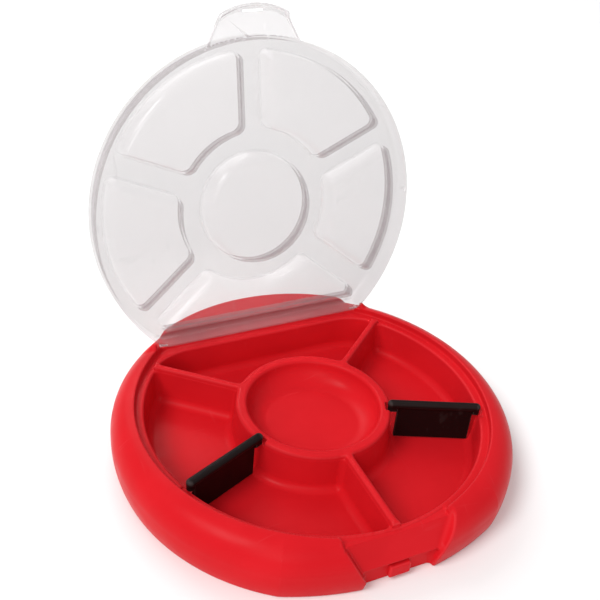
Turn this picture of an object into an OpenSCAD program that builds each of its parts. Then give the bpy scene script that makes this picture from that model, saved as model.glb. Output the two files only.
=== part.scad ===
// Round parts tray with a hinged see-through lid and two lift-out dividers.
// Millimetres. The origin is the centre of the tray's foot, +Z is up, the finger notch faces -Y
// and the lid hinge runs along X at the back. The lid is drawn open, leaning on its stop.

/* [Tray shell] */
// Radius of the tray at its widest
tray_r = 130; // [120:1:140]
// Height of the rim above the foot
tray_h = 37; // [36:0.5:41]
// Radius of the rounded shoulder
shoulder_r = 18; // [14:0.5:19]
// Height up to which the lower wall curves outwards
belly_z = 16; // [12:0.5:18]
// How far the foot edge is set in from the widest radius
foot_inset = 3; // [2:0.5:6]
// Thickness of the moulded walls
wall = 2.4; // [1.8:0.1:2.8]
// Width of the rim from the widest radius in to the lid seat
rim_w = 15.8; // [14.6:0.1:17]
// Radius of the flatter arc across the front
front_r = 180; // [150:1:260]
// How far the front arc is set in from the widest radius
front_inset = 4.7; // [3:0.1:6]
// How far the outer wall is set forward of the lid seat's centre
shell_shift = 1.9; // [0:0.1:2.5]

/* [Compartments] */
// Depth of the lid seat below the rim
seat_depth = 5.5; // [5:0.1:6]
// How far the dish wall and the fixed walls stand above the ledge
wall_rise = 2.5; // [1.5:0.1:3]
// Width of the ledge that the lid stands on
ledge_w = 5.4; // [4.4:0.1:6]
// Depth of the compartments below the wall tops
comp_depth = 26; // [20:0.5:27]
// How far the compartment walls lean in from top to floor
draft = 2; // [1:0.1:3]
// Radius of the fillet round the compartment floors
floor_fillet = 5; // [3:0.5:7]
// Inner radius of the centre dish
dish_r = 43.4; // [36:0.2:48]
// Thickness of the wall round the centre dish
dish_wall = 6.7; // [5:0.1:8]
// Depth of the centre dish
dish_depth = 15; // [10:0.5:20]
// Width of a fixed wall at its top
rib_w = 4.4; // [3:0.1:6]
// Angle of the two back walls from the left-right line
back_rib_deg = 40; // [34:1:46]

/* [Dividers] */
// Angle of the dividers below the left-right line
divider_deg = 23; // [16:1:30]
// Thickness of a divider plate
plate_t = 2.6; // [2:0.1:3.4]
// Gap from the divider plate to the compartment walls at the floor
plate_gap = 1.6; // [0.8:0.1:2.4]
// Gap under the divider plate
plate_lift = 2.4; // [1:0.1:4]
// Width of the bar along a divider's top
bar_w = 7; // [5:0.2:9]
// Height of the bar along a divider's top
bar_h = 7.4; // [5:0.2:9]
// How far the bar reaches over the dish wall
bar_lap_in = 2.6; // [1.6:0.1:4]
// How far the bar reaches over the ledge
bar_lap_out = 1.8; // [1.2:0.1:2.2]
// Depth of the notches in the ledge that the bar ends drop into
notch_depth = 0.8; // [0.6:0.1:1.4]

/* [Lid] */
// Gap between the lid skirt and its seat
lid_gap = 0.5; // [0.4:0.1:1]
// Height of the lid from its lip to its top
lid_h = 16.4; // [14:0.2:18]
// Thickness of the lid
lid_t = 1.8; // [1.2:0.1:2.2]
// Depth of the panels pressed into the lid
panel_depth = 14.2; // [10:0.2:14.4]
// Width of the raised spokes between the panels
spoke_w = 13; // [11:0.5:16]
// Width of the raised rim outside the panels
lid_rim_w = 8; // [6:0.5:10]
// Radius of the round centre panel
disc_r = 39.1; // [34:0.1:40]
// Width of the raised ring round the centre panel
ring_w = 13.1; // [12:0.1:15]

/* [Hinge] */
// Distance of the hinge axis behind the lid seat's radius
hinge_inset = 28.3; // [26:0.1:31]
// Height of the hinge axis above the ledge
hinge_rise = 5.5; // [5:0.1:6]
// Distance of the lid's rear face behind the hinge axis
rear_offset = 0.45; // [0.3:0.05:0.8]
// Radius of the hinge stubs
stub_r = 1.6; // [1.3:0.1:1.7]
// Radial clearance of the stubs in their bores
stub_clear = 0.06; // [0.03:0.01:0.1]
// Length of a stub inside its bore
stub_grip = 5; // [4:0.2:6]
// Angle of the open lid on its stop
open_deg = 102.6; // [98:0.2:106]

/* [Finger tab and notch] */
// Half width of the tab where it leaves the lid
tab_root_w = 33; // [26:0.5:36]
// Half width that the tab narrows to at its tip
tab_end_w = 18; // [16:0.5:24]
// How far the tab reaches out from the lid skirt
tab_reach = 20.9; // [18:0.1:22]
// Radius of the tab's crowned edge
tab_crown_r = 45; // [36:1:60]
// Depth of the turned-down edge of the tab
tab_lip = 6; // [4:0.5:8]
// Half width of the slot behind the tab's edge
tab_slot_w = 7; // [4:0.5:9]
// Room between the tab and the notch on each side
notch_room = 3.5; // [2:0.5:6]
// How far the notch floor is set in from the widest radius at its foot
notch_inset = 10.2; // [9:0.1:11]
// Height of the straight wall below the notch's slope
notch_wall_h = 14; // [13:0.5:18]
// How far that wall is set in below the slope
notch_step = 2.3; // [1:0.1:3]
// Width of the small nub below the notch
nub_w = 14; // [8:0.5:20]

/* [Hidden] */
$fn = 96;
eps = 0.02;
big = 400;
arc_steps = 10;

// Tray radii and heights worked out from the sizes above
seat_r = tray_r - rim_w;
comp_r = seat_r - ledge_w;
dish_out_r = dish_r + dish_wall;
ledge_z = tray_h - seat_depth;
wall_z = ledge_z + wall_rise;
floor_z = wall_z - comp_depth;
dish_floor_z = wall_z - dish_depth;
rib_out_r = comp_r + bar_lap_out / 2;
rim_r = tray_r - shoulder_r;
foot_r = tray_r - foot_inset;
belly_arc_r = (foot_inset * foot_inset + belly_z * belly_z) / (2 * foot_inset);
front_cy = front_r - tray_r + front_inset;
rib_degs = [-90, back_rib_deg, 180 - back_rib_deg];

// Hinge and lid places
hinge_y = seat_r - hinge_inset;
hinge_z = ledge_z + hinge_rise;
lip_clear = 0.6;
lip_z = ledge_z + lip_clear;
lid_top = lip_z + lid_h;
lid_r = seat_r - lid_gap;
rear_y = hinge_y + rear_offset;
bore_r = stub_r + stub_clear;
bore_end_gap = 0.6;
stub_mouth_x = sqrt(seat_r * seat_r - (hinge_y - bore_r) * (hinge_y - bore_r));
stub_end_x = stub_mouth_x + stub_grip;
stub_root_in = 4;
stub_root_x = sqrt(lid_r * lid_r - rear_y * rear_y) - stub_root_in;
panel_z = lid_top - lid_t - panel_depth;
spoke_degs = [-90, -divider_deg, back_rib_deg, 180 - back_rib_deg, 180 + divider_deg];

// Pocket behind the hinge that takes the lid's rear wall, and the stop behind it
stop_gap = 0.3;
reach_rear = lid_top - hinge_z;
corner_y = hinge_y + rear_offset * cos(open_deg) + reach_rear * sin(open_deg);
corner_z = hinge_z - rear_offset * sin(open_deg) + reach_rear * cos(open_deg);
pocket_drop = 1;
pocket_floor_z = corner_z - pocket_drop;
stop_y = corner_y - (tray_h - corner_z) / tan(open_deg) + stop_gap;
pocket_front_gap = 2.4;
pocket_front_y = hinge_y + pocket_front_gap;
side_room = 5;
ear_room = 8;
pocket_end_wall = 1;
pocket_half_w = stub_end_x - pocket_end_wall;
ear_skin = 0.6;
ear_wall = 3;
ear_top_z = hinge_z + stub_r + ear_skin;
ear_in_x = seat_r * 0.6;
ear_out_x = stub_end_x + ear_wall;
ear_out_r = seat_r + ear_room;
ear_depth = 4;
ear_setback = 1.1;
ear_x = stub_mouth_x + ear_setback;
ear_relief_z = hinge_z - stub_r;
back_rim_inset = 6;
back_rim_end_gap = 2;
back_rim_half_w = stub_root_x - back_rim_end_gap;
rear_wall_gap = 3.6;
rear_wall_y = hinge_y - rear_wall_gap;

// Notch and tab
notch_y = -(tray_r - notch_inset);
notch_back = 1.6;
notch_flare_z = tray_h - 2;
notch_flare_foot_z = belly_z / 2;
notch_top_y = -(seat_r - notch_back);
notch_top_w = tab_root_w + notch_room;
notch_lap = 0.6;
notch_seat_y = notch_lap - sqrt(seat_r * seat_r - notch_top_w * notch_top_w);
notch_foot_room = 4.8;
notch_foot_w = tab_end_w + notch_foot_room;
tab_end_r = lid_r + tab_reach;
tab_root_y = -lid_r * 0.95;
tab_run = 5;
tab_slot_inset = 4.8;
tab_slot_d = 1.4;
nub_foot_z = 3;
nub_h = 9;
nub_out = 3.6;

// Divider bar and plate ends, measured along the radius
bar_in_r = dish_out_r - bar_lap_in;
bar_out_r = comp_r + bar_lap_out;
plate_in_r = dish_out_r + draft + plate_gap;
plate_out_r = comp_r - draft - plate_gap;
bar_float = 0.1;
bar_z = ledge_z - notch_depth + bar_float;

// Small foot under the middle of the dish
centre_foot_r = 5;

function arc(cx, cy, r, a0, a1) =
    [for (i = [0:arc_steps]) let (a = a0 + (a1 - a0) * i / arc_steps) [cx + r * cos(a), cy + r * sin(a)]];

// Outline of the tray's outer wall, moved inwards by t, closed along the axis
function shell_outline(t) =
    concat([[0, -t], [foot_r - t, -t]],
           arc(tray_r - belly_arc_r, belly_z, belly_arc_r - t, -asin(belly_z / belly_arc_r), 0),
           arc(rim_r, tray_h - shoulder_r, shoulder_r - t, 0, 90),
           [[0, tray_h - t]]);

// Ring of the compartments, with drafted sides and a filleted floor
function ring_outline() =
    concat(arc(dish_out_r + draft + floor_fillet, floor_z + floor_fillet, floor_fillet, 180, 270),
           arc(comp_r - draft - floor_fillet, floor_z + floor_fillet, floor_fillet, -90, 0),
           [[comp_r, ledge_z], [comp_r, big], [dish_out_r, big], [dish_out_r, wall_z]]);

// Bowl of the centre dish
function dish_outline() =
    let (bowl_r = dish_depth * 0.8)
    concat([[0, dish_floor_z]],
           arc(dish_r - draft - bowl_r, dish_floor_z + bowl_r, bowl_r, -90, 0),
           [[dish_r, wall_z], [dish_r, big], [0, big]]);

// The tray's outer wall as a solid, moved inwards by t, with its flatter front
module shell(t) {
    intersection() {
        translate([0, -shell_shift, 0]) rotate_extrude($fn = 144) polygon(shell_outline(t));
        translate([0, front_cy, -big / 2]) cylinder(r = front_r - t, h = big, $fn = 240);
    }
}

// A fixed wall, drawn along +X from the dish onto the ledge
module rib() {
    foot_w = rib_w + 2 * draft;
    translate([dish_r, 0, 0])
        rotate([90, 0, 90])
            linear_extrude(height = rib_out_r - dish_r)
                polygon([[-foot_w / 2, floor_z - eps], [foot_w / 2, floor_z - eps],
                         [rib_w / 2, wall_z], [-rib_w / 2, wall_z]]);
}

// Space in front of the compartments' rear wall
module rear_wall_limit() {
    rotate([90, 0, 90])
        translate([0, 0, -big / 2])
            linear_extrude(height = big)
                polygon([[-big, 0], [rear_wall_y - draft, 0], [rear_wall_y - draft, floor_z],
                         [rear_wall_y, ledge_z], [rear_wall_y, big], [-big, big]]);
}

module compartments() {
    difference() {
        intersection() {
            rotate_extrude($fn = 144) polygon(ring_outline());
            rear_wall_limit();
        }
        for (a = rib_degs) rotate([0, 0, a]) rib();
    }
    rotate_extrude() polygon(dish_outline());
}

// Space for the closed lid above the ledge, round the walls that stand up into it
module lid_seat() {
    difference() {
        intersection() {
            translate([0, 0, ledge_z]) cylinder(r = seat_r, h = big, $fn = 144);
            translate([-big / 2, -big, 0]) cube([big, big + pocket_front_y + eps, big]);
        }
        cylinder(r = dish_out_r, h = wall_z);
        for (a = rib_degs) rotate([0, 0, a]) rib();
    }
}

// Space behind the hinge for the open lid's rear wall
module rear_pocket() {
    translate([-pocket_half_w, hinge_y + ear_depth, pocket_floor_z])
        cube([2 * pocket_half_w, stop_y - hinge_y - ear_depth, big]);
    translate([-stub_root_x - side_room, pocket_front_y, pocket_floor_z])
        cube([2 * (stub_root_x + side_room), stop_y - pocket_front_y, big]);
    translate([-ear_x, hinge_y - ear_depth, ear_relief_z])
        cube([2 * ear_x, 2 * ear_depth + eps, big]);
}

// Raised back of the rim, which the open lid leans on
module back_rim() {
    intersection() {
        cylinder(r = tray_r - back_rim_inset, h = tray_h, $fn = 144);
        translate([-back_rim_half_w, hinge_y, belly_z])
            cube([2 * back_rim_half_w, tray_r, big]);
    }
}

// Blocks at both ends of the hinge that hold the bores
module ears() {
    for (s = [-1, 1])
        intersection() {
            cylinder(r = ear_out_r, h = ear_top_z);
            translate([s > 0 ? ear_in_x : -ear_out_x, hinge_y - ear_depth, belly_z])
                cube([ear_out_x - ear_in_x, 2 * ear_depth, big]);
        }
}

module bores() {
    for (s = [-1, 1])
        translate([s * stub_root_x, hinge_y, hinge_z])
            rotate([0, s * 90, 0])
                cylinder(r = bore_r, h = stub_end_x - stub_root_x + bore_end_gap);
}

// Finger notch in the front wall, below the lid's tab
module finger_notch() {
    intersection() {
        rotate([90, 0, 90])
            translate([0, 0, -big / 2])
                linear_extrude(height = big)
                    polygon([[-big, -1], [notch_y + notch_step, -1], [notch_y + notch_step, notch_wall_h],
                             [notch_y, notch_wall_h + notch_step / 2], [notch_top_y, ledge_z],
                             [notch_seat_y, ledge_z], [notch_seat_y, big], [-big, big]]);
        rotate([90, 0, 0])
            linear_extrude(height = big)
                polygon([[-notch_foot_w, -2], [notch_foot_w, -2], [notch_foot_w, notch_flare_foot_z],
                         [notch_top_w, notch_flare_z], [notch_top_w, big], [-notch_top_w, big],
                         [-notch_top_w, notch_flare_z], [-notch_foot_w, notch_flare_foot_z]]);
    }
}

module nub() {
    top_y = notch_y + notch_step;
    translate([-nub_w / 2, 0, 0])
        rotate([90, 0, 90])
            linear_extrude(height = nub_w)
                polygon([[top_y + 1, nub_foot_z], [top_y - nub_out, nub_foot_z], [top_y - nub_out, nub_h],
                         [top_y, nub_h + nub_out], [top_y + 1, nub_h + nub_out]]);
}

// Hollow under the rim, open at the foot, and the shallow hollow under the floors
module underside() {
    skirt_r = comp_r + wall;
    difference() {
        shell(wall);
        intersection() {
            translate([0, 0, -1]) cylinder(r = skirt_r, h = big, $fn = 144);
            translate([-big / 2, -big, -big / 2]) cube([big, big + rear_wall_y + wall, big]);
        }
        translate([-notch_top_w - wall, -big, -1]) cube([2 * (notch_top_w + wall), big - seat_r * 0.8, big]);
        translate([0, 0, ledge_z - wall]) cylinder(r = seat_r + wall, h = big, $fn = 144);
        translate([-big / 2, rear_wall_y - draft, ledge_z - wall]) cube([big, big, big]);
    }
    difference() {
        union() {
            translate([0, 0, -1]) cylinder(r = comp_r - wall, h = floor_z - wall + 1, $fn = 144);
            translate([0, 0, -1]) cylinder(r = dish_r - draft - wall, h = dish_floor_z - wall + 1);
        }
        translate([0, 0, -2]) cylinder(r = centre_foot_r, h = big);
    }
}

// Notches that locate the divider bars on the dish wall and the ledge
module bar_notches() {
    slack = 0.4;
    for (a = [-divider_deg, 180 + divider_deg])
        rotate([0, 0, a])
            translate([bar_in_r - slack, -bar_w / 2 - slack, ledge_z - notch_depth])
                cube([bar_out_r - bar_in_r + 2 * slack, bar_w + 2 * slack, big]);
}

module base_tray() {
    color([0.82, 0.11, 0.14])
        union() {
            difference() {
                union() {
                    shell(0);
                    back_rim();
                    ears();
                }
                lid_seat();
                compartments();
                rear_pocket();
                bores();
                finger_notch();
                underside();
                bar_notches();
            }
            nub();
        }
}

// Places what is drawn for the closed lid at the open angle
module opened() {
    translate([0, hinge_y, hinge_z])
        rotate([-open_deg, 0, 0])
            translate([0, -hinge_y, -hinge_z])
                children();
}

// Outline of the lid seen from above, moved inwards by t
module lid_plan(t) {
    intersection() {
        circle(r = lid_r - t, $fn = 144);
        translate([-big / 2, -big]) square([big, big + rear_y - t]);
    }
}

// Outlines of the pressed panels seen from above, moved inwards by t
module panel_plans(t) {
    difference() {
        lid_plan(lid_rim_w + t);
        circle(r = disc_r + ring_w + t);
        for (a = spoke_degs)
            rotate(a)
                translate([0, -spoke_w / 2 - t])
                    square([big, spoke_w + 2 * t]);
    }
    circle(r = disc_r - t);
}

module lid_shell() {
    difference() {
        translate([0, 0, lip_z]) linear_extrude(height = lid_h) lid_plan(0);
        difference() {
            translate([0, 0, lip_z - 1]) linear_extrude(height = lid_h - lid_t + 1) lid_plan(lid_t);
            translate([0, 0, panel_z]) linear_extrude(height = big) panel_plans(0);
        }
        translate([0, 0, panel_z + lid_t]) linear_extrude(height = big) panel_plans(lid_t);
    }
}

// Outline of the finger tab seen from above, with its crowned edge moved inwards by t
module tab_plan(t) {
    intersection() {
        translate([0, tab_crown_r - tab_end_r]) circle(r = tab_crown_r - t);
        polygon([[-tab_root_w, tab_root_y], [-tab_end_w, -tab_end_r], [-tab_end_w, -tab_end_r - tab_run],
                 [tab_end_w, -tab_end_r - tab_run], [tab_end_w, -tab_end_r], [tab_root_w, tab_root_y]]);
    }
}

// Finger tab with its turned-down crowned edge and the slot behind it
module finger_tab() {
    slot_y = tab_slot_inset - tab_end_r;
    translate([0, 0, lip_z])
        linear_extrude(height = lid_t)
            difference() {
                tab_plan(0);
                circle(r = lid_r - lid_t / 2, $fn = 144);
                translate([-tab_slot_w, slot_y - tab_slot_d / 2]) square([2 * tab_slot_w, tab_slot_d]);
            }
    translate([0, 0, lip_z + lid_t - tab_lip])
        linear_extrude(height = tab_lip)
            difference() {
                tab_plan(0);
                translate([0, tab_crown_r - tab_end_r]) circle(r = tab_crown_r - lid_t);
            }
}

module stubs() {
    for (s = [-1, 1])
        translate([s * stub_root_x, hinge_y, hinge_z])
            rotate([0, s * 90, 0])
                cylinder(r = stub_r, h = stub_end_x - stub_root_x);
}

module lid() {
    color([0.9, 0.91, 0.93, 0.45])
        opened()
            union() {
                lid_shell();
                finger_tab();
                stubs();
            }
}

// One divider, drawn along +X
module divider() {
    translate([plate_in_r, -plate_t / 2, floor_z + plate_lift])
        cube([plate_out_r - plate_in_r, plate_t, bar_z + bar_h / 2 - floor_z - plate_lift]);
    translate([0, 0, bar_z])
        linear_extrude(height = bar_h)
            union() {
                translate([bar_in_r + bar_w / 2, -bar_w / 2]) square([bar_out_r - bar_in_r - bar_w, bar_w]);
                for (x = [bar_in_r + bar_w / 2, bar_out_r - bar_w / 2])
                    translate([x, 0]) circle(d = bar_w);
            }
}

module left_divider() {
    color([0.1, 0.09, 0.09]) rotate([0, 0, 180 + divider_deg]) divider();
}

module right_divider() {
    color([0.1, 0.09, 0.09]) rotate([0, 0, -divider_deg]) divider();
}

base_tray();
lid();
left_divider();
right_divider();
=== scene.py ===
"""Looks of the round parts tray: red tray, milky hinged lid and two black dividers.

Every moulding is written as a distance field in millimetres, with its edges and inside corners
rounded as a mould rounds them. The field is turned into a mesh, thinned out, and laid back on
the field.
"""

import logging
import math
from dataclasses import dataclass
from enum import Enum
from itertools import product
from typing import Callable

import bpy
import numpy as np
from mathutils import Matrix, Vector


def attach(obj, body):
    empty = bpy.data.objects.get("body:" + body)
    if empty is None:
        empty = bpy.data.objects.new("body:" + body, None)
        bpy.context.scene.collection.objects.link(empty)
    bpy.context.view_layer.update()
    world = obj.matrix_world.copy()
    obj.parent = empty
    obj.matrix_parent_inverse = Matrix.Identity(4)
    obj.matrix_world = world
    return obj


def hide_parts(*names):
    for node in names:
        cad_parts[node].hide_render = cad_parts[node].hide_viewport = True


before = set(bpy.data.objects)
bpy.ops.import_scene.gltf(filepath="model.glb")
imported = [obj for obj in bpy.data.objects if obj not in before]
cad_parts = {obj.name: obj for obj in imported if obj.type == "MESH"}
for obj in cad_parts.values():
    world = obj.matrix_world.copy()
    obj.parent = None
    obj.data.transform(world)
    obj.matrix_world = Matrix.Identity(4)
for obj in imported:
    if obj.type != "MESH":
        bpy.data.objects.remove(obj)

LOG = logging.getLogger("parts_tray")
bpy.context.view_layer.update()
MM = 0.001
BEND = "bend"
SLAB = 8
SLOPE_REACH = 0.04
BEND_REACH = 0.12
BEND_GAIN = 1.2
STRIDE = 0.6
BUMP_DEPTH = 0.0004

Array = np.ndarray
Field = Callable[[Array, Array, Array], Array]
Colour = tuple[float, float, float, float]


def rounded_and(a: Array, b: Array, radius: float) -> Array:
    """Field of what two shapes share, with a rounded outer edge.

    Args:
        a: Field of the first shape.
        b: Field of the second shape.
        radius: Radius of the edge.

    Returns:
        The joint field.
    """
    corner = np.hypot(np.maximum(a + radius, 0.0), np.maximum(b + radius, 0.0))
    return np.minimum(np.maximum(a, b), -radius) + corner


def rounded_or(a: Array, b: Array, radius: float) -> Array:
    """Field of two shapes together, with a rounded inside corner.

    Args:
        a: Field of the first shape.
        b: Field of the second shape.
        radius: Radius of the corner.

    Returns:
        The joint field.
    """
    corner = np.hypot(np.maximum(radius - a, 0.0), np.maximum(radius - b, 0.0))
    return np.maximum(np.minimum(a, b), radius) - corner


def rounded_cut(a: Array, b: Array, radius: float) -> Array:
    """Field of the first shape with the second taken away, with a rounded edge."""
    return rounded_and(a, -b, radius)


def block(x: Array, y: Array, z: Array, lo: tuple, hi: tuple, radius: float) -> Array:
    """Field of an upright block with rounded edges.

    Args:
        x: Places along X.
        y: Places along Y.
        z: Places along Z.
        lo: Lowest corner.
        hi: Highest corner.
        radius: Radius of the edges.

    Returns:
        The block's field.
    """
    parts = []
    for value, low, high in zip((x, y, z), lo, hi):
        parts.append(np.abs(value - (low + high) / 2) - (high - low) / 2 + radius)
    outside = np.sqrt(sum(np.maximum(p, 0.0) ** 2 for p in parts))
    inside = np.minimum(np.maximum(np.maximum(parts[0], parts[1]), parts[2]), 0.0)
    return outside + inside - radius


@dataclass
class Moulding:
    """Turns a distance field into a smooth mesh.

    Attributes:
        name: Name of the piece.
        shape: The field, in millimetres.
        lo: Lowest corner of the searched box.
        hi: Highest corner of the searched box.
        step: Spacing of the search grid.
        keep: Share of the faces kept after thinning out.
    """

    name: str
    shape: Field
    lo: tuple[float, float, float]
    hi: tuple[float, float, float]
    step: float
    keep: float

    def net(self) -> tuple[Array, Array]:
        """Finds the field's skin as quads on a grid.

        Returns:
            The vertices and the quads' vertex numbers.
        """
        low = np.array(self.lo) - 1.5 * self.step
        count = np.ceil((np.array(self.hi) + 1.5 * self.step - low) / self.step).astype(int) + 1
        axes = [(low[i] + self.step * np.arange(count[i])).astype(np.float32) for i in range(3)]
        grid = np.meshgrid(*axes, indexing="ij", sparse=True)
        value = np.empty(tuple(count), np.float32)
        for z0 in range(0, count[2], SLAB):
            layer = slice(z0, min(z0 + SLAB, count[2]))
            value[:, :, layer] = self.shape(grid[0], grid[1], grid[2][:, :, layer])
        inside = value < 0
        corners = list(product((0, 1), repeat=3))
        views = [tuple(slice(c[i], count[i] - 1 + c[i]) for i in range(3)) for c in corners]
        total = sum(inside[v].astype(np.int8) for v in views)
        active = (total > 0) & (total < 8)
        number = np.full(active.shape, -1, np.int64)
        number[active] = np.arange(active.sum())
        cells = np.argwhere(active)
        at = [value[v][active].astype(float) for v in views]
        place = np.zeros((len(cells), 3))
        crossings = np.zeros(len(cells))
        for i, j in product(range(8), repeat=2):
            if i < j and sum(abs(corners[i][k] - corners[j][k]) for k in range(3)) == 1:
                cross = (at[i] < 0) != (at[j] < 0)
                share = np.where(cross, at[i] / np.where(cross, at[i] - at[j], 1.0), 0.0)
                start, end = np.array(corners[i], float), np.array(corners[j], float)
                place += np.where(cross[:, None], start + share[:, None] * (end - start), 0.0)
                crossings += cross
        points = low + (cells + place / crossings[:, None]) * self.step
        return points, self.quads(inside, number)

    @staticmethod
    def quads(inside: Array, number: Array) -> Array:
        """Joins the cells round each grid edge that crosses the skin.

        Args:
            inside: Whether each grid point is inside the shape.
            number: Vertex number of each cell.

        Returns:
            The quads' vertex numbers.
        """
        faces = []
        for axis in range(3):
            u, w = [a for a in range(3) if a != axis]
            near = [slice(None)] * 3
            far = [slice(None)] * 3
            near[axis], far[axis] = slice(0, -1), slice(1, None)
            for a in (u, w):
                near[a] = far[a] = slice(1, -1)
            first, second = inside[tuple(near)], inside[tuple(far)]
            change = np.argwhere(first != second)
            flip = first[tuple(change.T)]
            ring = []
            for du, dw in ((0, 0), (1, 0), (1, 1), (0, 1)):
                cell = change.copy()
                cell[:, u] += du
                cell[:, w] += dw
                ring.append(number[tuple(cell.T)])
            quad = np.stack(ring, 1)
            turned = flip if axis != 1 else ~flip
            quad[~turned] = quad[~turned][:, ::-1]
            faces.append(quad)
        return np.concatenate(faces)

    def slope(self, points: Array) -> Array:
        """Slope of the field at the given points."""
        slopes = []
        for axis in range(3):
            shift = np.zeros(3)
            shift[axis] = SLOPE_REACH
            slopes.append(self.shape(*(points + shift).T) - self.shape(*(points - shift).T))
        return np.stack(slopes, 1) / (2 * SLOPE_REACH)

    def bend(self, points: Array) -> Array:
        """How sharply the skin bends at each point, from -1 in corners to 1 on outer edges."""
        total = -6.0 * self.shape(*points.T)
        for axis in range(3):
            shift = np.zeros(3)
            shift[axis] = BEND_REACH
            total = total + self.shape(*(points + shift).T) + self.shape(*(points - shift).T)
        return np.clip(BEND_GAIN * total / BEND_REACH ** 2, -1.0, 1.0)

    def settle(self, points: Array, rounds: int) -> tuple[Array, Array]:
        """Lays points on the field's skin.

        Args:
            points: Points close to the skin.
            rounds: Number of corrections.

        Returns:
            The points on the skin and their unit normals.
        """
        furthest = STRIDE * self.step
        for _ in range(rounds):
            slope = self.slope(points)
            steep = np.maximum((slope ** 2).sum(1), 0.2)
            move = np.clip(self.shape(*points.T) / steep, -furthest, furthest)
            points = points - move[:, None] * slope
        slope = self.slope(points)
        return points, slope / np.maximum(np.linalg.norm(slope, axis=1), 1e-6)[:, None]

    def build(self, turn: Matrix) -> bpy.types.Object:
        """Makes the piece's object.

        Args:
            turn: Placement of the field's millimetres in the part's frame.

        Returns:
            The object, shaded smooth with the field's own normals.
        """
        points, quads = self.net()
        points, _ = self.settle(points, 3)
        mesh = bpy.data.meshes.new(self.name)
        mesh.from_pydata(points.tolist(), [], quads.tolist())
        piece = bpy.data.objects.new(self.name, mesh)
        bpy.context.scene.collection.objects.link(piece)
        if self.keep < 1:
            thin = piece.modifiers.new("thin_out", "DECIMATE")
            thin.ratio = self.keep
            graph = bpy.context.evaluated_depsgraph_get()
            fewer = bpy.data.meshes.new_from_object(piece.evaluated_get(graph))
            piece.modifiers.remove(thin)
            piece.data = fewer
            bpy.data.meshes.remove(mesh)
            mesh = fewer
            mesh.name = self.name
        flat = np.empty(len(mesh.vertices) * 3)
        mesh.vertices.foreach_get("co", flat)
        points, normals = self.settle(flat.reshape(-1, 3), 2)
        mesh.attributes.new(BEND, "FLOAT", "POINT").data.foreach_set("value", self.bend(points))
        placed = np.array(turn @ Matrix.Scale(MM, 4))
        mesh.vertices.foreach_set("co", (points @ placed[:3, :3].T + placed[:3, 3]).ravel())
        mesh.polygons.foreach_set("use_smooth", np.ones(len(mesh.polygons), bool))
        mesh.update()
        spin = np.array(turn)[:3, :3]
        mesh.normals_split_custom_set_from_vertices((normals @ spin.T).tolist())
        LOG.info("%s: %d faces", self.name, len(mesh.polygons))
        return piece


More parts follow.
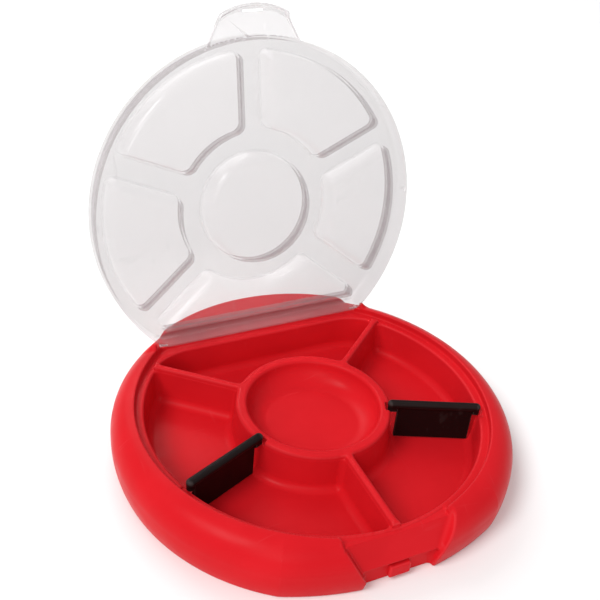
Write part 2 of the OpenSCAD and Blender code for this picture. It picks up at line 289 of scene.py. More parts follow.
@dataclass
class Tray:
    """The red tray: outer wall, lid seat, fixed walls, centre dish, notch and hinge lugs."""

    rim_r: float = 130.0
    height: float = 37.0
    shoulder: float = 18.0
    belly_z: float = 16.0
    foot_inset: float = 3.0
    shift: float = 1.9
    front_r: float = 180.0
    front_cy: float = 54.7
    wall: float = 2.4
    rim_wall: float = 3.0
    seat_r: float = 114.2
    seat_back: float = 88.3
    ledge_z: float = 31.5
    wall_z: float = 34.0
    floor_z: float = 8.0
    comp_r: float = 108.8
    comp_back: float = 82.3
    draft: float = 2.0
    dish_r: float = 43.4
    dish_out_r: float = 50.1
    dish_floor: float = 19.0
    rib_half: float = 2.2
    rib_out_r: float = 109.7
    rib_degs: tuple[float, ...] = (-90.0, 40.0, 140.0)
    bar_degs: tuple[float, ...] = (-23.0, 203.0)
    hinge_y: float = 85.9
    hinge_z: float = 37.0
    edge_r: float = 1.2
    deck_r: float = 124.0
    deck_half: float = 72.0
    deck_edge: float = 4.0
    deck_corner: float = 6.0
    deck_blend: float = 3.0
    comp_corner: float = 9.0
    rib_corner: float = 4.0
    floor_fillet: float = 5.0
    bowl_fillet: float = 12.0
    bowl_lean: float = 1.7
    seat_corner: float = 4.0
    ledge_edge: float = 1.3
    wall_edge: float = 2.0
    pocket_half: float = 80.1
    pocket_z: float = 33.05
    pocket_back: float = 97.98
    relief_half: float = 78.2
    relief_z: float = 35.4
    bore_r: float = 1.66
    bore_at: float = 73.3
    bore_half: float = 3.2
    lug_r: float = 2.2
    lug_in: float = 76.1
    lug_out: float = 82.0
    lug_gap: float = 1.2
    lug_blend: float = 2.5
    notch_half: float = 22.75
    notch_flare: float = 13.75
    notch_low_z: float = 8.0
    notch_rise: float = 27.0
    notch_edge: float = 1.4
    notch_slope: tuple[float, float] = (0.915, 0.403)
    notch_foot: tuple[float, float] = (-119.8, 15.15)
    notch_step: tuple[float, float] = (-117.5, 14.2)
    nub_lo: tuple[float, float, float] = (-20.0, -121.1, 3.0)
    nub_hi: tuple[float, float, float] = (7.0, -110.0, 11.5)
    tab_room_half: float = 34.3
    tab_room_z: float = 31.2
    foot_r: float = 5.0
    front_half: float = 38.9
    front_y: float = -91.0
    slot_in: float = 47.1
    slot_out: float = 111.0
    slot_half: float = 3.9
    slot_z: float = 30.7
    slot_edge: float = 0.5
    above: float = 80.0

    def lean(self, z: Array) -> Array:
        """How far a drafted wall has moved at height z."""
        return self.draft * (self.wall_z - z) / (self.wall_z - self.floor_z)

    def wall_side(self, x: Array, y: Array, z: Array) -> Array:
        """Field of the outer wall as a solid with its rounded shoulder, open below."""
        side = np.hypot(x, y + self.shift) - self.rim_r
        front = np.hypot(x, y - self.front_cy) - self.front_r
        side = np.maximum(side, front)
        below = np.clip((self.belly_z - z) / self.belly_z, 0.0, 1.0)
        side = side + self.foot_inset * below ** 2
        body = rounded_and(side, z - self.height, self.shoulder)
        deck = rounded_and(np.hypot(x, y) - self.deck_r, z - self.height, self.deck_edge)
        deck = rounded_and(deck, np.abs(x) - self.deck_half, self.deck_corner)
        deck = np.maximum(deck, self.hinge_y - y)
        return rounded_or(body, deck, self.deck_blend)

    def shell(self, x: Array, y: Array, z: Array) -> Array:
        """Field of the outer wall as a solid, with its lower edge."""
        return rounded_and(self.wall_side(x, y, z), -z, self.edge_r)

    def ribs(self, x: Array, y: Array, z: Array) -> Array:
        """Field of the three fixed walls."""
        found = None
        half = self.rib_half + self.lean(z)
        for deg in self.rib_degs:
            c, s = math.cos(math.radians(deg)), math.sin(math.radians(deg))
            one = np.maximum(np.abs(y * c - x * s) - half, -(x * c + y * s))
            found = one if found is None else np.minimum(found, one)
        return found

    def hollows(self, x: Array, y: Array, z: Array) -> Array:
        """Field of the compartments and the dish's bowl."""
        r = np.hypot(x, y)
        lean = self.lean(z)
        ring = rounded_and(r - self.comp_r + lean, y - self.comp_back + lean, self.comp_corner)
        ring = np.maximum(ring, self.dish_out_r + lean - r)
        ring = rounded_cut(ring, self.ribs(x, y, z), self.rib_corner)
        ring = rounded_and(ring, self.floor_z - z, self.floor_fillet)
        bowl = r - self.dish_r + lean * self.bowl_lean
        bowl = rounded_and(bowl, self.dish_floor - z, self.bowl_fillet)
        return np.minimum(ring, bowl)

    def inside(self, x: Array, y: Array, z: Array) -> Array:
        """Field of all that stands inside the rim: ledge, fixed walls and dish wall."""
        r = np.hypot(x, y)
        hollows = self.hollows(x, y, z)
        seat = rounded_and(r - self.seat_r, y - self.seat_back, self.seat_corner)
        ledge = rounded_cut(z - self.ledge_z, hollows, self.ledge_edge)
        stands = np.maximum(self.ribs(x, y, z) - 0.5, r - self.rib_out_r)
        stands = np.minimum(r - self.dish_out_r - 1.0, stands)
        walls = rounded_cut(z - self.wall_z, hollows, self.wall_edge)
        walls = rounded_and(walls, stands, self.edge_r)
        return np.minimum(rounded_or(-seat, ledge, self.edge_r), walls)

    def hinge_room(self, x: Array, y: Array, z: Array) -> Array:
        """Field of the pocket behind the hinge, the relief between the lugs and the bores."""
        side = np.abs(x)
        lo = (-20.0, self.seat_back - 2.0, self.pocket_z)
        hi = (self.pocket_half, self.pocket_back, self.above)
        pocket = block(side, y, z, lo, hi, 1.0)
        lo = (-20.0, self.hinge_y - 4.0, self.relief_z)
        hi = (self.relief_half, self.hinge_y + 6.0, self.above)
        relief = block(side, y, z, lo, hi, 0.6)
        bore = np.hypot(y - self.hinge_y, z - self.hinge_z) - self.bore_r
        bore = np.maximum(bore, np.abs(side - self.bore_at) - self.bore_half)
        return np.minimum(np.minimum(pocket, relief), bore)

    def lugs(self, x: Array, y: Array, z: Array) -> Array:
        """Field of the two lugs that hold the hinge bores."""
        side = np.abs(x)
        lug = np.hypot(y - self.hinge_y, np.maximum(z - self.hinge_z, 0.0)) - self.lug_r
        lug = rounded_and(lug, 0.7 * (side - self.lug_out + 0.6 * (z - self.hinge_z)), 1.5)
        lug = np.maximum(lug, np.maximum(self.lug_in - side, self.belly_z - z))
        return np.maximum(lug, self.seat_r + self.lug_gap - np.hypot(x, y))

    def notch(self, x: Array, y: Array, z: Array) -> Array:
        """Field of the finger notch in the front wall, with room for the shut lid's tab."""
        out, up = self.notch_slope
        slope = out * (y - self.notch_foot[0]) - up * (z - self.notch_foot[1])
        lower = np.maximum(y - self.notch_step[0], z - self.notch_step[1])
        front = rounded_or(slope, lower, 0.8)
        rise = np.clip((z - self.notch_low_z) / self.notch_rise, 0.0, 1.0)
        half = self.notch_half + self.notch_flare * rise
        cut = rounded_and(front, 0.89 * (np.abs(x) - half), 2.5)
        rim = np.maximum(self.seat_r - 2.7 - np.hypot(x, y), y + 100.0)
        rim = np.maximum(self.tab_room_z - z, rim)
        tab_room = rounded_and(np.abs(x + 1.0) - self.tab_room_half, rim, 0.8)
        return np.minimum(cut, tab_room)

    def underside(self, x: Array, y: Array, z: Array, shell: Array, hinge: Array) -> Array:
        """Field of the hollows under the floors and under the rim.

        Args:
            x: Places along X.
            y: Places along Y.
            z: Places along Z.
            shell: Field of the outer wall as a solid.
            hinge: Field of the room round the hinge.

        Returns:
            The hollows' field.
        """
        r = np.hypot(x, y)
        floors = rounded_and(r - self.comp_r + self.wall, z - self.floor_z + self.wall, 1.5)
        dish = r - self.dish_r + self.draft + self.wall
        dish = rounded_and(dish, z - self.dish_floor + self.wall, 3.0)
        under = np.maximum(np.minimum(floors, dish), self.foot_r - r)
        skirt = np.maximum(r - self.comp_r - self.wall, y - self.comp_back - self.wall)
        roof = z - self.ledge_z + self.wall
        channel = rounded_and(shell + self.rim_wall, -skirt, 1.0)
        channel = np.maximum(channel, np.minimum(roof, self.seat_r + self.wall - r))
        channel = np.maximum(channel, np.minimum(roof, self.comp_back - self.draft - y))
        channel = np.maximum(channel, self.wall - hinge)
        front_block = np.maximum(np.abs(x) - self.front_half, y - self.front_y)
        return np.minimum(under, np.maximum(channel, -front_block))

    def shape(self, x: Array, y: Array, z: Array) -> Array:
        """Field of the whole tray."""
        shell = self.shell(x, y, z)
        body = rounded_and(shell, self.inside(x, y, z), self.edge_r)
        body = rounded_or(body, self.lugs(x, y, z), self.lug_blend)
        hinge = self.hinge_room(x, y, z)
        body = rounded_cut(body, hinge, 0.7)
        body = rounded_cut(body, self.notch(x, y, z), self.notch_edge)
        nub = block(np.abs(x), y, z, self.nub_lo, self.nub_hi, self.edge_r)
        body = rounded_or(body, nub, 0.8)
        under = self.underside(x, y, z, self.wall_side(x, y, z), hinge)
        body = rounded_cut(body, under, 0.6)
        for deg in self.bar_degs:
            c, s = math.cos(math.radians(deg)), math.sin(math.radians(deg))
            along, across = x * c + y * s, y * c - x * s
            lo = (self.slot_in, -self.slot_half, self.slot_z)
            hi = (self.slot_out, self.slot_half, 60.0)
            slot = block(along, across, z, lo, hi, self.slot_edge)
            body = rounded_cut(body, slot, self.slot_edge)
        return body

    def build(self) -> bpy.types.Object:
        """Makes the tray's object on its body."""
        step, keep = ((0.85, 0.4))
        lo, hi = (-130.0, -126.0, 0.0), (130.0, 128.2, 39.4)
        piece = Moulding("tray_moulding", self.shape, lo, hi, step, keep).build(Matrix.Identity(4))
        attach(piece, "tray")
        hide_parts("base_tray")
        return piece


@dataclass
class Lid:
    """The milky lid: a thin pan with pressed panels, a finger tab and hinge stubs."""

    radius: float = 113.7
    back: float = 86.35
    top: float = 48.5
    lip: float = 32.1
    skin: float = 1.8
    panel_z: float = 32.5
    rim_w: float = 8.0
    disc_r: float = 39.1
    ring_r: float = 52.2
    spoke_w: float = 13.0
    spoke_degs: tuple[float, ...] = (-90.0, -23.0, 40.0, 140.0, 203.0)
    tab_root: float = 108.0
    tab_end: float = 134.6
    tab_root_w: float = 33.0
    tab_end_w: float = 19.5
    crown_r: float = 45.0
    tab_left: float = 1.8
    tab_drop: float = 2.2
    tab_end_drop: float = 3.8
    slot_back: float = 4.8
    slot_half: float = 7.0
    slot_wide: float = 0.8
    hinge_y: float = 85.9
    hinge_z: float = 37.0
    open_deg: float = 102.6
    back_corner: float = 3.0
    top_edge: float = 3.0
    panel_corner: float = 5.0
    panel_fillet: float = 3.0
    panel_edge: float = 1.5
    panel_draft: float = 0.1
    stub_r: float = 1.45
    stub_at: float = 73.2
    stub_half: float = 3.0

    def plan(self, x: Array, y: Array) -> Array:
        """Field of the lid's outline seen from above."""
        return rounded_and(np.hypot(x, y) - self.radius, y - self.back, self.back_corner)

    def panels(self, x: Array, y: Array, z: Array) -> Array:
        """Field of the pressed panels, cut down from the lid's top."""
        r = np.hypot(x, y)
        spokes = None
        for deg in self.spoke_degs:
            c, s = math.cos(math.radians(deg)), math.sin(math.radians(deg))
            across = np.abs(y * c - x * s) - self.spoke_w / 2 - self.skin
            one = np.maximum(across, -(x * c + y * s))
            spokes = one if spokes is None else np.minimum(spokes, one)
        edge = self.plan(x, y) + self.rim_w + self.skin
        sector = rounded_and(edge, self.ring_r + self.skin - r, self.panel_corner)
        sector = rounded_cut(sector, spokes, self.panel_corner)
        flat = np.minimum(sector, r - self.disc_r + self.skin)
        drafted = flat + self.panel_draft * (self.top - z)
        return rounded_and(drafted, self.panel_z + self.skin - z, self.panel_fillet)

    def pan(self, x: Array, y: Array, z: Array) -> Array:
        """Field of the thin pan."""
        solid = rounded_and(self.plan(x, y), z - self.top, self.top_edge)
        solid = rounded_cut(solid, self.panels(x, y, z), self.panel_edge)
        skin = np.abs(solid + self.skin / 2) - self.skin / 2
        return np.maximum(skin, self.lip - z)

    def tab(self, x: Array, y: Array, z: Array) -> Array:
        """Field of the finger tab with its turned-down edges, its crowned end and its slot."""
        r = np.hypot(x, y)
        x = x + self.tab_left
        run = (-y - self.tab_root) / (self.tab_end - self.tab_root)
        half = self.tab_root_w + (self.tab_end_w - self.tab_root_w) * np.clip(run, 0.0, 1.2)
        crown = np.hypot(x, y + self.tab_end - self.crown_r) - self.crown_r
        flat = rounded_and(0.86 * (np.abs(x) - half), crown, 0.6)
        droop = z + 0.3 * np.maximum(-y - self.tab_end + 5.0, 0.0)
        solid = rounded_and(flat, droop - self.lip - self.skin, 1.4)
        skin = np.abs(solid + self.skin / 2) - self.skin / 2
        depth = self.tab_drop + self.tab_end_drop * np.clip((crown + 4.0) / 2.5, 0.0, 1.0) ** 2
        skin = rounded_and(skin, self.lip + self.skin - depth - z, 0.5)
        slot_y = self.slot_back - self.tab_end
        lo = (-10.0, slot_y - self.slot_wide, 0.0)
        hi = (self.slot_half, slot_y + self.slot_wide, 60.0)
        slot = block(np.abs(x), y, z, lo, hi, 0.4)
        skin = rounded_cut(skin, slot, 0.3)
        return np.maximum(skin, np.maximum(self.radius - 1.0 - r, y))

    def shape(self, x: Array, y: Array, z: Array) -> Array:
        """Field of the whole lid, shut."""
        body = rounded_or(self.pan(x, y, z), self.tab(x, y, z), 0.6)
        stub = np.hypot(y - self.hinge_y, z - self.hinge_z) - self.stub_r
        stub = rounded_and(stub, np.abs(np.abs(x) - self.stub_at) - self.stub_half, 0.4)
        return rounded_or(body, stub, 0.4)

    def opened(self) -> Matrix:
        """Turn of the lid about its hinge to where it rests."""
        axis = Vector((0.0, self.hinge_y, self.hinge_z)) * MM
        spin = Matrix.Rotation(math.radians(-self.open_deg), 4, "X")
        return Matrix.Translation(axis) @ spin @ Matrix.Translation(-axis)

    def build(self) -> bpy.types.Object:
        """Makes the lid's object on its body."""
        step, keep = ((0.62, 0.35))
        lo, hi = (-113.7, -134.6, 26.0), (113.7, 87.6, 48.5)
        piece = Moulding("lid_moulding", self.shape, lo, hi, step, keep).build(self.opened())
        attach(piece, "lid")
        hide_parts("lid")
        return piece


class Side(Enum):
    """The two dividers, with the angle that each stands at."""

    LEFT = 203.0
    RIGHT = -23.0


@dataclass
class Divider:
    """A black lift-out divider: an upright plate under a rounded bar."""

    side: Side
    bar_in: float = 48.4
    bar_out: float = 109.6
    bar_z: float = 33.4
    bar_top: float = 38.2
    bar_half: float = 2.8
    foot_z: float = 30.8
    foot_in: float = 55.2
    foot_out: float = 104.8
    plate_z: float = 9.0
    plate_half: float = 1.3

    def shape(self, x: Array, y: Array, z: Array) -> Array:
        """Field of the divider, drawn along +X."""
        middle = (self.bar_in + self.bar_out) / 2
        reach = (self.bar_out - self.bar_in) / 2 - self.bar_half
        plan = np.hypot(np.maximum(np.abs(x - middle) - reach, 0.0), y) - self.bar_half
        bar = rounded_and(plan, np.maximum(z - self.bar_top, self.bar_z - z), 2.2)
        ends = np.minimum(x - self.foot_in, self.foot_out - x)
        height = np.maximum(z - self.bar_z - 2.0, self.foot_z - z)
        feet = rounded_and(plan + 0.3, np.maximum(ends, height), 0.6)
        lo = (self.foot_in, -self.plate_half, self.plate_z)
        hi = (self.foot_out, self.plate_half, self.bar_z + 3.0)
        plate = block(x, y, z, lo, hi, 0.5)
        return rounded_or(rounded_or(bar, feet, 0.4), plate, 0.8)

    def build(self) -> bpy.types.Object:
        """Makes the divider's object on its body."""
        name = self.side.name.lower() + "_divider"
        lo, hi = (47.5, -3.5, 9.0), (110.6, 3.5, 38.2)
        turn = Matrix.Rotation(math.radians(self.side.value), 4, "Z")
        piece = Moulding(name + "_moulding", self.shape, lo, hi, 0.4, 0.3).build(turn)
        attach(piece, name)
        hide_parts(name)
        return piece


class Sheet:
    """A node tree with short calls to add and join nodes."""

    def __init__(self, tree: bpy.types.NodeTree, keep: bool = False) -> None:
        """Starts on a tree, emptied unless its nodes are kept."""
        self.tree = tree
        if not keep:
            tree.nodes.clear()

    def add(self, kind: str, **values: object) -> bpy.types.Node:
        """Adds a node and sets its properties.

        Args:
            kind: Type name of the node.
            **values: Properties of the node.

        Returns:
            The node.
        """
        node = self.tree.nodes.new(kind)
        for key, value in values.items():
            setattr(node, key, value)
        return node

    def join(self, source: bpy.types.NodeSocket, target: bpy.types.NodeSocket) -> None:
        """Joins two sockets."""
        self.tree.links.new(source, target)

    def math(self, kind: str, a: object, b: object = 0.0) -> bpy.types.NodeSocket:
        """Adds a sum of two values.

        Args:
            kind: Operation of the node.
            a: First value or socket.
            b: Second value or socket.

        Returns:
            The result's socket.
        """
        node = self.add("ShaderNodeMath", operation=kind)
        for socket, value in zip(node.inputs, (a, b)):
            if isinstance(value, bpy.types.NodeSocket):
                self.join(value, socket)
            else:
                socket.default_value = value
        return node.outputs[0]

    def noise(self, place: bpy.types.NodeSocket, scale: object, detail: float, rough: float
              ) -> bpy.types.NodeSocket:
        """Adds cloudy noise.

        Args:
            place: Coordinates.
            scale: Scale as a value or socket.
            detail: Number of finer layers.
            rough: Strength of the finer layers.

        Returns:
            The noise value's socket.
        """
        node = self.add("ShaderNodeTexNoise")
        self.join(place, node.inputs["Vector"])
        if isinstance(scale, bpy.types.NodeSocket):
            self.join(scale, node.inputs["Scale"])
        else:
            node.inputs["Scale"].default_value = scale
        node.inputs["Detail"].default_value = detail
        node.inputs["Roughness"].default_value = rough
        return node.outputs["Fac"]

    def spread(self, value: bpy.types.NodeSocket, low: float, high: float, to_low: float,
               to_high: float) -> bpy.types.NodeSocket:
        """Maps a value from one range to another, kept within it.

        Args:
            value: Socket of the value.
            low: Start of the first range.
            high: End of the first range.
            to_low: Start of the second range.
            to_high: End of the second range.

        Returns:
            The mapped value's socket.
        """
        node = self.add("ShaderNodeMapRange", interpolation_type="SMOOTHSTEP")
        self.join(value, node.inputs["Value"])
        ends = {"From Min": low, "From Max": high, "To Min": to_low, "To Max": to_high}
        for name, number in ends.items():
            node.inputs[name].default_value = number
        return node.outputs["Result"]

    def tint(self, mask: bpy.types.NodeSocket, a: object, b: Colour) -> bpy.types.NodeSocket:
        """Mixes two colours by a mask.

        Args:
            mask: Share of the second colour.
            a: First colour, or its socket.
            b: Second colour.

        Returns:
            The mixed colour's socket.
        """
        node = self.add("ShaderNodeMix", data_type="RGBA")
        self.join(mask, node.inputs["Factor"])
        first = node.inputs[6]
        if isinstance(a, bpy.types.NodeSocket):
            self.join(a, first)
        else:
            first.default_value = a
        node.inputs[7].default_value = b
        return node.outputs[2]


def new_group(name: str, inputs: dict[str, float], outputs: tuple[str, ...]
              ) -> tuple[bpy.types.NodeTree, Sheet, bpy.types.Node, bpy.types.Node]:
    """Starts a shader node group of plain values.

    Args:
        name: Name of the group.
        inputs: Names and first values of its inputs.
        outputs: Names of its outputs.

    Returns:
        The group, its sheet, and its input and output nodes.
    """
    tree = bpy.data.node_groups.new(name, "ShaderNodeTree")
    for key, value in inputs.items():
        socket = tree.interface.new_socket(key, in_out="INPUT", socket_type="NodeSocketFloat")
        socket.default_value = value
    for key in outputs:
        tree.interface.new_socket(key, in_out="OUTPUT", socket_type="NodeSocketFloat")
    sheet = Sheet(tree)
    return tree, sheet, sheet.add("NodeGroupInput"), sheet.add("NodeGroupOutput")


class Effect(Enum):
    """Effects that all the mouldings share."""

    GRAIN = "moulded_grain"
    MARKS = "handling_marks"

    def tree(self) -> bpy.types.NodeTree:
        """Builds the effect's group, or gives the one already built."""
        known = bpy.data.node_groups.get(self.value)
        if known:
            return known
        return moulded_grain() if self is Effect.GRAIN else handling_marks()


def moulded_grain() -> bpy.types.NodeTree:
    """Fine texture of a moulded face, with slow clouds of colour and gloss.

    Returns:
        The node group.
    """
    outs = ("Height", "Clouds", "Gloss")
    tree, sheet, enter, leave = new_group(Effect.GRAIN.value, {"Grain": 900.0, "Cloud": 14.0}, outs)
    place = sheet.add("ShaderNodeTexCoord").outputs["Object"]
    fine = sheet.noise(place, enter.outputs["Grain"], 3.0, 0.6)
    soft = sheet.noise(place, sheet.math("MULTIPLY", enter.outputs["Cloud"], 6.0), 2.0, 0.5)
    clouds = sheet.noise(place, enter.outputs["Cloud"], 4.0, 0.55)
    fine = sheet.math("MULTIPLY", fine, 0.8)
    height = sheet.math("ADD", fine, sheet.math("MULTIPLY", soft, 0.6))
    sheet.join(height, leave.inputs["Height"])
    sheet.join(sheet.spread(clouds, 0.3, 0.7, 0.0, 1.0), leave.inputs["Clouds"])
    soft = sheet.math("MULTIPLY", soft, 0.6)
    gloss = sheet.math("ADD", soft, sheet.math("MULTIPLY", clouds, 0.4))
    sheet.join(sheet.spread(gloss, 0.3, 0.7, 0.0, 1.0), leave.inputs["Gloss"])
    return tree


def handling_marks() -> bpy.types.NodeTree:
    """Thin scuffs in two directions, specks of dust, paler outer edges (partly wear, partly a
    painted highlight) and darker inside corners (painted shade).

    Returns:
        The node group.
    """
    values = {"Scuffs": 0.5, "Dust": 0.3, "Edges": 0.3, "Corners": 0.3}
    outs = ("Scuff", "Speck", "Edge", "Corner")
    tree, sheet, enter, leave = new_group(Effect.MARKS.value, values, outs)
    place = sheet.add("ShaderNodeTexCoord").outputs["Object"]
    scuffs = []
    for turn, stretch in ((0.5, (26.0, 420.0, 60.0)), (-0.8, (330.0, 20.0, 60.0))):
        aim = sheet.add("ShaderNodeMapping")
        sheet.join(place, aim.inputs["Vector"])
        aim.inputs["Rotation"].default_value = (0.2, 0.1, turn)
        aim.inputs["Scale"].default_value = stretch
        line = sheet.noise(aim.outputs["Vector"], 1.0, 2.0, 0.5)
        scuffs.append(sheet.spread(line, 0.66, 0.74, 0.0, 1.0))
    both = sheet.math("MAXIMUM", scuffs[0], scuffs[1])
    patch = sheet.spread(sheet.noise(place, 22.0, 2.0, 0.5), 0.48, 0.62, 0.0, 1.0)
    both = sheet.math("MULTIPLY", both, patch)
    sheet.join(sheet.math("MULTIPLY", both, enter.outputs["Scuffs"]), leave.inputs["Scuff"])
    specks = sheet.add("ShaderNodeTexVoronoi")
    sheet.join(place, specks.inputs["Vector"])
    specks.inputs["Scale"].default_value = 260.0
    dots = sheet.spread(specks.outputs["Distance"], 0.05, 0.12, 1.0, 0.0)
    some = sheet.spread(sheet.noise(place, 90.0, 1.0, 0.5), 0.56, 0.66, 0.0, 1.0)
    dots = sheet.math("MULTIPLY", dots, some)
    sheet.join(sheet.math("MULTIPLY", dots, enter.outputs["Dust"]), leave.inputs["Speck"])
    bend = sheet.add("ShaderNodeAttribute", attribute_name=BEND).outputs["Fac"]
    # Outer edges painted pale: partly wear, partly a painted highlight.
    edges = sheet.math("POWER", sheet.math("MAXIMUM", bend, 0.0), 3.0)
    # Inside corners painted darker: painted shade.
    corners = sheet.spread(bend, -1.0, -0.3, 1.0, 0.0)
    sheet.join(sheet.math("MULTIPLY", edges, enter.outputs["Edges"]), leave.inputs["Edge"])
    sheet.join(sheet.math("MULTIPLY", corners, enter.outputs["Corners"]), leave.inputs["Corner"])
    return tree


@dataclass(frozen=True)
class Finish:
    """A moulded plastic with its colours, gloss and texture.

    Attributes:
        name: Name of the material.
        deep: Colour of the darker clouds.
        light: Colour of the lighter clouds.
        worn: Colour of scuffs and dust, and of the paler outer edges, which are partly wear and
            partly a painted highlight.
        gloss: Lowest and highest roughness.
        grain: Scale of the fine texture.
        relief: Strength of the fine texture.
        scuffs: Strength of the scuffs.
        dust: Strength of the dust.
        edge: Strength of the paler outer edges, partly wear and partly a painted highlight.
        corner: Strength of the darker inside corners, a painted shade.
        ior: Refraction of the plastic.
        veil: Share of light stopped face on and edge on, if the plastic is see-through.
        shine: Strength of the mirror-like part.
    """

    name: str
    deep: Colour
    light: Colour
    worn: Colour
    gloss: tuple[float, float]
    grain: float = 900.0
    relief: float = 0.1
    scuffs: float = 0.4
    dust: float = 0.2
    # Pale outer edges: partly wear, partly a painted highlight.
    edge: float = 0.3
    # Darker inside corners are painted shade; the tray and the bars keep this default, the lid sets
    # it to 0.
    corner: float = 0.3
    ior: float = 1.47
    veil: tuple[float, float] | None = None
    shine: float = 0.5

    def material(self) -> bpy.types.Material:
        """Builds the material.

        Returns:
            The material, with one Principled shader.
        """
        skin = bpy.data.materials.new(self.name)
        skin.use_nodes = True
        sheet = Sheet(skin.node_tree)
        end = sheet.add("ShaderNodeOutputMaterial")
        shader = sheet.add("ShaderNodeBsdfPrincipled")
        sheet.join(shader.outputs["BSDF"], end.inputs["Surface"])
        grain = sheet.add("ShaderNodeGroup", node_tree=Effect.GRAIN.tree())
        grain.inputs["Grain"].default_value = self.grain
        marks = sheet.add("ShaderNodeGroup", node_tree=Effect.MARKS.tree())
        marks.inputs["Scuffs"].default_value = self.scuffs
        marks.inputs["Dust"].default_value = self.dust
        marks.inputs["Edges"].default_value = self.edge
        marks.inputs["Corners"].default_value = self.corner
        colour = sheet.tint(grain.outputs["Clouds"], self.deep, self.light)
        worn = sheet.math("MULTIPLY", marks.outputs["Scuff"], 0.5)
        worn = sheet.math("ADD", worn, marks.outputs["Speck"])
        # Outer edges take the pale colour, partly as wear and partly as a painted highlight.
        worn = sheet.math("MAXIMUM", worn, marks.outputs["Edge"])
        colour = sheet.tint(worn, colour, self.worn)
        # Inside corners are darkened toward the deep colour: painted shade.
        colour = sheet.tint(marks.outputs["Corner"], colour, self.deep)
        sheet.join(colour, shader.inputs["Base Color"])
        rough = sheet.spread(grain.outputs["Gloss"], 0.0, 1.0, self.gloss[0], self.gloss[1])
        rough = sheet.math("ADD", rough, sheet.math("MULTIPLY", marks.outputs["Scuff"], 0.25))
        sheet.join(rough, shader.inputs["Roughness"])
        bump = sheet.add("ShaderNodeBump")
        bump.inputs["Strength"].default_value = self.relief
        bump.inputs["Distance"].default_value = BUMP_DEPTH
        sheet.join(grain.outputs["Height"], bump.inputs["Height"])
        sheet.join(bump.outputs["Normal"], shader.inputs["Normal"])
        shader.inputs["IOR"].default_value = self.ior
        shader.inputs["Specular IOR Level"].default_value = self.shine
        if self.veil:
            facing = sheet.add("ShaderNodeLayerWeight")
            facing.inputs["Blend"].default_value = 0.5
            veil = sheet.spread(facing.outputs["Facing"], 0.3, 1.0, self.veil[0], self.veil[1])
            veil = sheet.math("ADD", veil, sheet.math("MULTIPLY", marks.outputs["Scuff"], 0.15))
            # Outer edges are made more opaque so that their pale colour shows as a painted
            # highlight.
            veil = sheet.math("ADD", veil, sheet.math("MULTIPLY", marks.outputs["Edge"], 0.3))
            shade = sheet.add("ShaderNodeLightPath").outputs["Is Shadow Ray"]
            passing = sheet.math("SUBTRACT", 1.0, sheet.math("MULTIPLY", shade, 0.7))
            sheet.join(sheet.math("MULTIPLY", veil, passing), shader.inputs["Alpha"])
        return skin


# The tray's paler outer edges are partly wear and partly a painted highlight.
TRAY_RED = Finish("red_polypropylene", (0.57, 0.009, 0.014, 1.0), (0.63, 0.011, 0.017, 1.0),
                  (0.70, 0.10, 0.11, 1.0), (0.28, 0.38), relief=0.06, scuffs=0.2, dust=0.03,
                  edge=0.12, shine=0.06)
# The lid's near-white outer edges are a painted highlight.
LID_MILK = Finish("milky_polypropylene", (0.24, 0.185, 0.195, 1.0), (0.27, 0.21, 0.22, 1.0),
                  (0.95, 0.95, 0.96, 1.0), (0.10, 0.20), relief=0.04, scuffs=0.3, dust=0.03,
                  edge=0.9, corner=0.0, shine=0.9, veil=(0.25, 0.27))
# The pale rounded top and edges of the bars are a painted highlight.
BAR_BLACK = Finish("black_plastic", (0.005, 0.002, 0.002, 1.0), (0.009, 0.004, 0.004, 1.0),
                   (0.07, 0.055, 0.052, 1.0), (0.32, 0.45), relief=0.12, scuffs=0.3, dust=0.1,
                   edge=0.5, shine=0.1)


@dataclass(frozen=True)
class Viewpoint:
    """The camera that took the photograph, fitted to the tray.

    Attributes:
        focus_px: Focal length in pixels of a 600 pixel picture.
        azimuth: Turn round the tray, in degrees.
        elevation: Angle above the floor, in degrees.
        roll: Tilt about the line of sight, in degrees.
        place: Place of the camera in millimetres.
    """

    focus_px: float = 932.95
    azimuth: float = -27.93
    elevation: float = 34.14
    roll: float = 5.61
    place: tuple[float, float, float] = (-230.47, -402.17, 426.95)

    def build(self) -> bpy.types.Object:
        """Makes the camera and sets it as the scene's.

        Returns:
            The camera object.
        """
        az, el, roll = (math.radians(v) for v in (self.azimuth, self.elevation, self.roll))
        back = Vector((math.sin(az) * math.cos(el), -math.cos(az) * math.cos(el), math.sin(el)))
        right = Vector((math.cos(az), math.sin(az), 0.0))
        up = back.cross(right)
        right_2 = right * math.cos(roll) + up * math.sin(roll)
        up_2 = up * math.cos(roll) - right * math.sin(roll)
        lens = bpy.data.cameras.new("viewpoint")
        lens.sensor_fit = "HORIZONTAL"
        lens.sensor_width = 36.0
        lens.lens = self.focus_px * lens.sensor_width / 600.0
        lens.clip_start = 0.01
        camera = bpy.data.objects.new("viewpoint", lens)
        spin = Matrix((right_2, up_2, back)).transposed().to_4x4()
        camera.matrix_world = Matrix.Translation(Vector(self.place) * MM) @ spin
        bpy.context.scene.collection.objects.link(camera)
        bpy.context.scene.camera = camera
        return camera


@dataclass(frozen=True)
class Lamp:
    """A square soft lamp.

    Attributes:
        name: Name of the lamp.
        place: Place in metres.
        size: Length of its side in metres.
        power: Power in watts.
        aim: Point that it is turned to.
        spread: Width of its beam in degrees.
    """

    name: str
    place: tuple[float, float, float]
    size: float
    power: float
    aim: tuple[float, float, float] = (0.0, 0.0, 0.05)
    spread: float = 180.0

    def build(self) -> bpy.types.Object:
        """Makes the lamp's object."""
        light = bpy.data.lights.new(self.name, "AREA")
        light.energy = self.power
        light.size = self.size
        light.spread = math.radians(self.spread)
        holder = bpy.data.objects.new(self.name, light)
        holder.location = self.place
        line = Vector(self.aim) - holder.location
        holder.rotation_euler = line.to_track_quat("-Z", "Y").to_euler()
        bpy.context.scene.collection.objects.link(holder)
        return holder


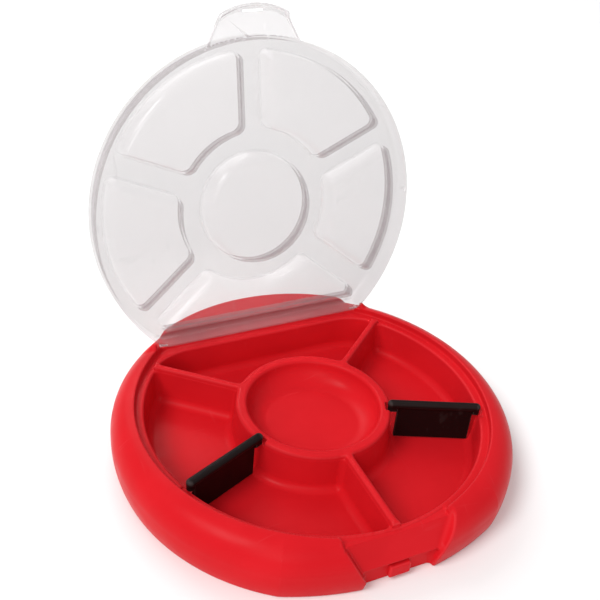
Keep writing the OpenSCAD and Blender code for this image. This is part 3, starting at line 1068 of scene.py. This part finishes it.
@dataclass
class Studio:
    """A plain pale floor under soft light."""

    floor_half: float = 40.0
    floor_colour: Colour = (0.93, 0.93, 0.93, 1.0)
    floor_rough: float = 0.9
    see_through: int = 48
    world: float = 0.53
    sun: float = 1.55
    sun_from: tuple[float, float, float] = (-1.0, -0.25, 1.2)
    sun_width: float = 24.0
    lamps: tuple[Lamp, ...] = (
        Lamp("key", (-0.7, -1.1, 0.8), 0.7, 5.0),
        Lamp("back", (-0.1, 1.1, 0.9), 1.0, 8.0),
        Lamp("deck", (0.0, 0.36, 0.30), 0.12, 0.035, (0.0, 0.115, 0.037), 36.0),
    )

    def floor(self) -> bpy.types.Object:
        """Makes the floor."""
        h = self.floor_half
        mesh = bpy.data.meshes.new("floor")
        corners = [(-h, -h, 0.0), (h, -h, 0.0), (h, h, 0.0), (-h, h, 0.0)]
        mesh.from_pydata(corners, [], [(0, 1, 2, 3)])
        floor = bpy.data.objects.new("floor", mesh)
        bpy.context.scene.collection.objects.link(floor)
        paint = bpy.data.materials.new("pale_floor")
        paint.use_nodes = True
        shader = paint.node_tree.nodes["Principled BSDF"]
        shader.inputs["Base Color"].default_value = self.floor_colour
        shader.inputs["Roughness"].default_value = self.floor_rough
        mesh.materials.append(paint)
        return floor

    def lights(self) -> None:
        """Makes the soft lamps and the even surrounding light."""
        for lamp in self.lamps:
            lamp.build()
        above = bpy.data.lights.new("above", "SUN")
        above.energy = self.sun
        above.angle = math.radians(self.sun_width)
        holder = bpy.data.objects.new("above", above)
        holder.rotation_euler = Vector(self.sun_from).to_track_quat("Z", "Y").to_euler()
        bpy.context.scene.collection.objects.link(holder)
        sky = bpy.data.worlds.new("studio_air")
        sky.use_nodes = True
        air = sky.node_tree.nodes["Background"]
        air.inputs["Color"].default_value = (1.0, 1.0, 1.0, 1.0)
        sheet = Sheet(sky.node_tree, keep=True)
        seen = sheet.add("ShaderNodeLightPath").outputs["Is Camera Ray"]
        sheet.join(sheet.spread(seen, 0.0, 1.0, self.world, 1.0), air.inputs["Strength"])
        bpy.context.scene.world = sky

    def build(self) -> None:
        """Sets up the floor, the lamps and plain colour handling."""
        self.floor()
        self.lights()
        bpy.context.scene.view_settings.view_transform = "Standard"
        bpy.context.scene.cycles.transparent_max_bounces = self.see_through


def dress(piece: bpy.types.Object, skin: bpy.types.Material) -> None:
    """Gives a piece its one material."""
    piece.data.materials.clear()
    piece.data.materials.append(skin)


def main() -> None:
    """Builds the pieces in order, the studio and the camera."""
    logging.basicConfig(level=logging.INFO)
    Viewpoint().build()
    dress(Tray().build(), TRAY_RED.material())
    dress(Lid().build(), LID_MILK.material())
    black = BAR_BLACK.material()
    for side in Side:
        dress(Divider(side).build(), black)
    Studio().build()


if __name__ == "__main__":
    main()
